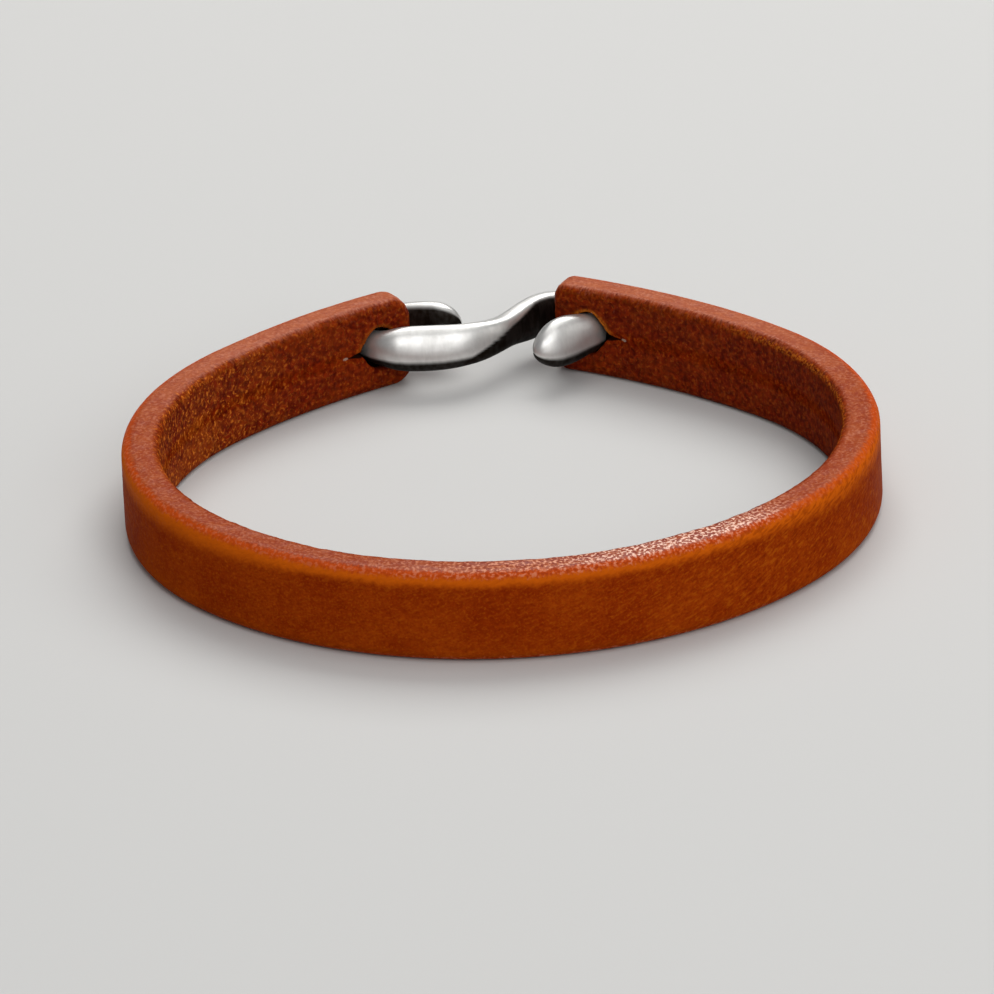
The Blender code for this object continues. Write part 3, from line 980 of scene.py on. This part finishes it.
def cutEdge(tree, field, borders, grain):
    # Reddish packed fibres, with pale crumbs in some stretches, partly painted glints, and a smoother
    # burnish in others; a painted highlight on the front right and a paler painted sheen towards both
    # ends. Gives the edge's colour, the grain side's with crumbs on its bevel, and height.
    look = leatherLook
    crumbs = noise(tree, field["place"], look["crumbSize"], detail=1.5)
    colour = mixColour(tree, ease(tree, field["tone"], 0.38, 0.62), look["cut"], look["cutFibre"])
    light = times(tree, ease(tree, crumbs, 0.50, 0.64), field["sparkle"])
    dark = times(tree, ease(tree, crumbs, 0.48, 0.34), field["sparkle"])
    # glint: a painted highlight on the cut edge's front right; the pale crumbs where sparkle is high are
    # partly painted glints.
    glint = times(tree, ease(tree, crumbs, 0.50, 0.60), field["glint"])
    colour = mixColour(tree, times(tree, light, 0.80), colour, look["cutFleckAndSheen"])
    colour = mixColour(tree, glint, colour, look["cutGlint"])
    colour = mixColour(tree, times(tree, dark, 0.75), colour, look["cutDeep"])
    colour = mixColour(tree, ease(tree, field["sparkle"], 1.0, 0.35, 0.0, 0.35), colour, look["cut"])
    # A paler painted sheen on the cut edge towards both ends.
    backSheen = ease(tree, field["fromFront"], 42.0, 64.0, 0.0, 0.16)
    colour = mixColour(tree, backSheen, colour, look["cutFleckAndSheen"])
    grain = mixColour(tree, times(tree, borders["bevelWearAndLight"], light, 0.45), grain, look["cutFleckAndSheen"])
    grain = mixColour(tree, times(tree, borders["bevelWearAndLight"], dark, 0.45), grain, look["cutDeep"])
    return colour, grain, times(tree, crumbs, 0.10)


def fleshSide(tree, field, fibreGroup):
    # Dark nap with curled golden fibres. Gives colour and height.
    look = leatherLook
    place, nap = field["place"], field["nap"]
    clump = noise(tree, place, look["clumpSize"], detail=1.0)
    warm = ease(tree, plus(tree, clump, field["tone"]), 0.76, 1.24)
    golden = times(tree, ease(tree, field["cloud"], 0.44, 0.62), ease(tree, nap, 0.2, 1.0, 0.25, 0.72))
    colour = mixColour(tree, warm, look["flesh"], look["fleshWarm"])
    colour = mixColour(tree, golden, colour, look["fleshGold"])
    turned = stretched(tree, place, (1, 1, 1), (0.4, 0.7, 0.2))
    coarse = useGroup(tree, fibreGroup, Vector=place, Density=1.1, Fineness=0.055)
    fine = useGroup(tree, fibreGroup, Vector=turned, Density=2.3, Fineness=0.06)
    grit = ease(tree, noise(tree, turned, 0.24, detail=0.0), 0.60, 0.70)
    hairs = calculate(tree, "MAXIMUM", times(tree, coarse, 0.7), times(tree, fine, 0.6))
    hairs = calculate(tree, "MAXIMUM", hairs, times(tree, grit, 0.9))
    hairs = times(tree, hairs, ease(tree, clump, 0.38, 0.62, 0.2, 1.0), nap)
    colour = mixColour(tree, hairs, colour, look["fleshFibre"])
    return colour, plus(tree, times(tree, coarse, 0.07), times(tree, clump, 0.16))


def goldenFringe(tree, field):
    # Fibres along the upper edge of the flesh side, most of all on the right. The corner between the
    # flesh side and the cut edge is where y - z has the value that it has on the rounding's middle.
    corner = (strapLook["thickness"] - strapLook["width"]) / 2
    fringe = plus(tree, minus(tree, field["y"], field["z"]), -corner, times(tree, field["wander"], 0.9))
    fringe = fadeInOut(tree, fringe, -0.15, 0.20, 0.35, 0.85)
    onRight = fadeInOut(tree, field["x"], *leatherLook["fringeSide"])
    return times(
        tree, fringe, ease(tree, field["y"], 0.3, 0.8), ease(tree, field["fleck"], 0.40, 0.62),
        ease(tree, onRight, 0.0, 1.0, 0.10, 0.60),
    )


def slitEnds(tree, field):
    # Beyond each slit's tip the cut goes on closed, painted near black as the shade of an open slit, and
    # ends in a bit of pale raw leather. Gives the masks of the closed cut's painted shade, a narrowing
    # band, and of the fray, an uneven ellipse.
    seen = put(tree, "SeparateXYZ", {"Vector": attribute(tree, "tipPlace", "Vector")}).outputs
    inner = ease(tree, seen["Y"], 0.3, 1.2)
    aside = calculate(tree, "ABSOLUTE", plus(tree, seen["Z"], times(tree, field["fleck"], 0.10)))
    room = ease(tree, seen["X"], -0.5, 0.95, 0.28, 0.03)
    closedCutShade = times(tree, ease(tree, minus(tree, aside, room), 0.05, -0.03), inner)
    closedCutShade = times(tree, closedCutShade, ease(tree, calculate(tree, "ABSOLUTE", seen["X"]), 1.00, 0.85))
    run = times(tree, minus(tree, seen["X"], 1.15), 3.0)
    rise = times(tree, plus(tree, seen["Z"], 0.03), 6.5)
    reach = calculate(tree, "SQRT", plus(tree, times(tree, run, run), times(tree, rise, rise)))
    fray = times(tree, ease(tree, plus(tree, reach, field["fleck"]), 1.45, 0.9), inner)
    return closedCutShade, fray


def leatherMaterial(fibreGroup, mottleGroup):
    # Grain side, cut edge, flesh side and the slits' details, laid over one another by their masks.
    look = leatherLook
    material, tree, shader = newMaterial("burntOrangeLeather")
    field = leatherFields(tree, mottleGroup)
    borders = leatherBorders(tree, field)
    grain, grainHeight = grainSide(tree, field, borders)
    edge, grain, edgeHeight = cutEdge(tree, field, borders, grain)
    flesh, fleshHeight = fleshSide(tree, field, fibreGroup)
    closedCutShade, fray = slitEnds(tree, field)
    raw = times(tree, attribute(tree, "lip"), ease(tree, field["fleck"], 0.30, 0.60, 0.4, 0.9))

    colour = mixColour(tree, borders["rim"], grain, edge)
    colour = mixColour(tree, borders["flesh"], colour, flesh)
    colour = mixColour(tree, goldenFringe(tree, field), colour, look["fleshFibre"])
    # Painted shade, near black: the slits' walls, and further down, the closed cut beyond each tip.
    colour = mixColour(tree, attribute(tree, "slitWallShade"), colour, look["slitWallShade"])
    colour = mixColour(tree, raw, colour, look["rawLip"])
    colour = mixColour(tree, times(tree, fray, 0.55), colour, look["frayed"])
    colour = mixColour(tree, closedCutShade, colour, look["slitWallShade"])
    tree.links.new(colour, shader.inputs["Base Color"])

    gloss = ease(tree, field["cloud"], 0.3, 0.7, *look["grainRoughness"])
    gloss = mixValue(tree, borders["rim"], gloss, look["cutRoughness"])
    gloss = mixValue(tree, borders["flesh"], gloss, look["fleshRoughness"])
    tree.links.new(gloss, shader.inputs["Roughness"])

    height = mixValue(tree, borders["rim"], grainHeight, edgeHeight)
    height = mixValue(tree, borders["flesh"], height, fleshHeight)
    tree.links.new(bumped(tree, height), shader.inputs["Normal"])

    cut = times(tree, borders["rim"], minus(tree, 1.0, borders["flesh"]))
    wax = plus(
        tree,
        times(tree, cut, ease(tree, field["sparkle"], 0.35, 1.0, *look["cutWax"])),
        times(tree, borders["rim"], field["glint"], look["glintWax"]),
        times(tree, borders["bevelWearAndLight"], look["bevelWax"]),
    )
    tree.links.new(wax, shader.inputs["Coat Weight"])
    shader.inputs["Coat Roughness"].default_value = look["waxRoughness"]
    shader.inputs["Specular IOR Level"].default_value = look["specular"]
    shader.inputs["Specular Tint"].default_value = look["specularTint"]
    return material


steelLook = {
    "bright": (0.69, 0.685, 0.67),
    "worn": (0.59, 0.585, 0.57),
    # near-black colour of the painted shade and painted dark reflections
    "paintedShade": (0.011, 0.007, 0.0045),
    "roughness": (0.34, 0.42),
    "paintedShadeRoughness": 0.2,     # what the painted shade adds
    "metallic": 0.82,           # a little below 1, so that the pale room lifts the steel's dark side
    "lineDepth": 0.002,         # drawn lines, in millimetres
    "fineDepth": 0.001,
}


def steelMaterial(mottleGroup):
    # Satin steel with fine drawn lines, clouded a little, and painted dark, as shade and dark reflections,
    # where the mask of painted shade says.
    look = steelLook
    material, tree, shader = newMaterial("satinSteel")
    bar = attribute(tree, "bar", "Vector")
    paintedShade = attribute(tree, "paintedShade")
    cloud = useGroup(tree, mottleGroup, Vector=bar, Wide=0.5, Fine=2.6, Fine_Share=0.5)
    lines = noise(tree, stretched(tree, bar, (0.5, 9.0, 9.0)), 1.0, 4.0)
    fine = noise(tree, stretched(tree, bar, (2.0, 34.0, 34.0)), 1.0, 2.0)
    metal = mixColour(tree, ease(tree, cloud, 0.35, 0.65), look["bright"], look["worn"])
    # How strongly the painted shade and painted dark reflections darken the steel, clouded a little.
    shadeShare = calculate(tree, "ADD", paintedShade, ease(tree, cloud, 0.35, 0.65, -0.02, 0.02), clamp=True)
    shadeShare = times(tree, shadeShare, ease(tree, paintedShade, 0.02, 0.2))
    gloss = ease(tree, cloud, 0.3, 0.7, *look["roughness"])
    gloss = plus(tree, gloss, times(tree, shadeShare, look["paintedShadeRoughness"]))
    height = plus(tree, times(tree, lines, look["lineDepth"]), times(tree, fine, look["fineDepth"]))
    tree.links.new(mixColour(tree, shadeShare, metal, look["paintedShade"]), shader.inputs["Base Color"])
    tree.links.new(gloss, shader.inputs["Roughness"])
    tree.links.new(ease(tree, shadeShare, 0.2, 0.8, look["metallic"], 1.0), shader.inputs["Metallic"])
    tree.links.new(bumped(tree, height), shader.inputs["Normal"])
    return material


# Stage: pale floor, soft lights and the camera.

stageLook = {
    "floorSize": 4.0,
    "floorColour": (0.58, 0.58, 0.575, 1),
    "floorRoughness": 0.8,
    "floorSpecular": 0.2,
    "lights": [
        # name, place, aim, size, watts, colour
        ("backLight", (0.10, 0.34, 0.44), (0, 0, 0), (0.50, 0.36), 2.3, (1.0, 0.985, 0.96)),
        ("overheadLight", (0.02, 0.02, 0.62), (0, 0, 0), (0.60, 0.44), 1.1, (1.0, 0.99, 0.97)),
        ("frontLight", (0.15, -0.52, 0.42), (0, 0, 0), (0.46, 0.46), 1.8, (1.0, 0.99, 0.98)),
        ("sideLight", (0.52, -0.12, 0.26), (0, 0, 0), (0.30, 0.36), 0.32, (1.0, 0.97, 0.93)),
    ],
    "zenith": (0.20, 0.205, 0.21, 1),
    "horizon": (0.20, 0.20, 0.20, 1),
}

cameraLook = {
    # in millimetres, from a pinhole camera fitted to the bracelet's outline; the roll is in degrees
    "place": (-0.521, -932.959, 435.297),
    "aim": (-0.509, 0.0, 0.385),
    "roll": -2.63,
    "lens": 473.8,
}


def makeFloor():
    mesh = bpy.data.meshes.new("floor")
    half = stageLook["floorSize"] / 2
    corners = [(-half, -half, 0), (half, -half, 0), (half, half, 0), (-half, half, 0)]
    mesh.from_pydata(corners, [], [(0, 1, 2, 3)])
    floor = bpy.data.objects.new("floor", mesh)
    bpy.context.scene.collection.objects.link(floor)
    material, _, shader = newMaterial("paleFloor")
    shader.inputs["Base Color"].default_value = stageLook["floorColour"]
    shader.inputs["Roughness"].default_value = stageLook["floorRoughness"]
    shader.inputs["Specular IOR Level"].default_value = stageLook["floorSpecular"]
    mesh.materials.append(material)


def makeLights():
    for name, place, aim, size, watts, colour in stageLook["lights"]:
        light = bpy.data.lights.new(name, "AREA")
        light.shape = "RECTANGLE"
        light.size, light.size_y = size
        light.energy = watts
        light.color = colour
        lamp = bpy.data.objects.new(name, light)
        lamp.location = place
        lamp.rotation_euler = (Vector(aim) - Vector(place)).to_track_quat("-Z", "Y").to_euler()
        bpy.context.scene.collection.objects.link(lamp)
    # Room: an even grey, a touch bluer overhead.
    world = bpy.data.worlds.new("softRoom")
    world.use_nodes = True
    tree = world.node_tree
    sky = put(tree, "TexCoord", {}).outputs["Generated"]
    up = put(tree, "SeparateXYZ", {"Vector": sky}).outputs["Z"]
    colour = mixColour(tree, ease(tree, up, 0.0, 0.6), stageLook["horizon"], stageLook["zenith"])
    tree.links.new(colour, tree.nodes["Background"].inputs["Color"])
    bpy.context.scene.world = world
    bpy.context.scene.view_settings.view_transform = "Standard"


def makeCamera():
    look = cameraLook
    camera = bpy.data.cameras.new("camera")
    camera.lens = look["lens"]
    camera.clip_start = 0.01
    viewer = bpy.data.objects.new("camera", camera)
    place = Vector(look["place"]) * mm
    aim = Vector(look["aim"]) * mm
    turn = (aim - place).to_track_quat("-Z", "Y").to_matrix()
    turn = turn @ Matrix.Rotation(radians(look["roll"]), 3, "Z")
    viewer.matrix_world = Matrix.Translation(place) @ turn.to_4x4()
    bpy.context.scene.collection.objects.link(viewer)
    bpy.context.scene.camera = viewer


fibreGroup = curledFibres()
mottleGroup = softMottle()
makeStrap(leatherMaterial(fibreGroup, mottleGroup))
makeHook(steelMaterial(mottleGroup))
print("pieces made")

makeFloor()
makeLights()
makeCamera()
print("stage made")
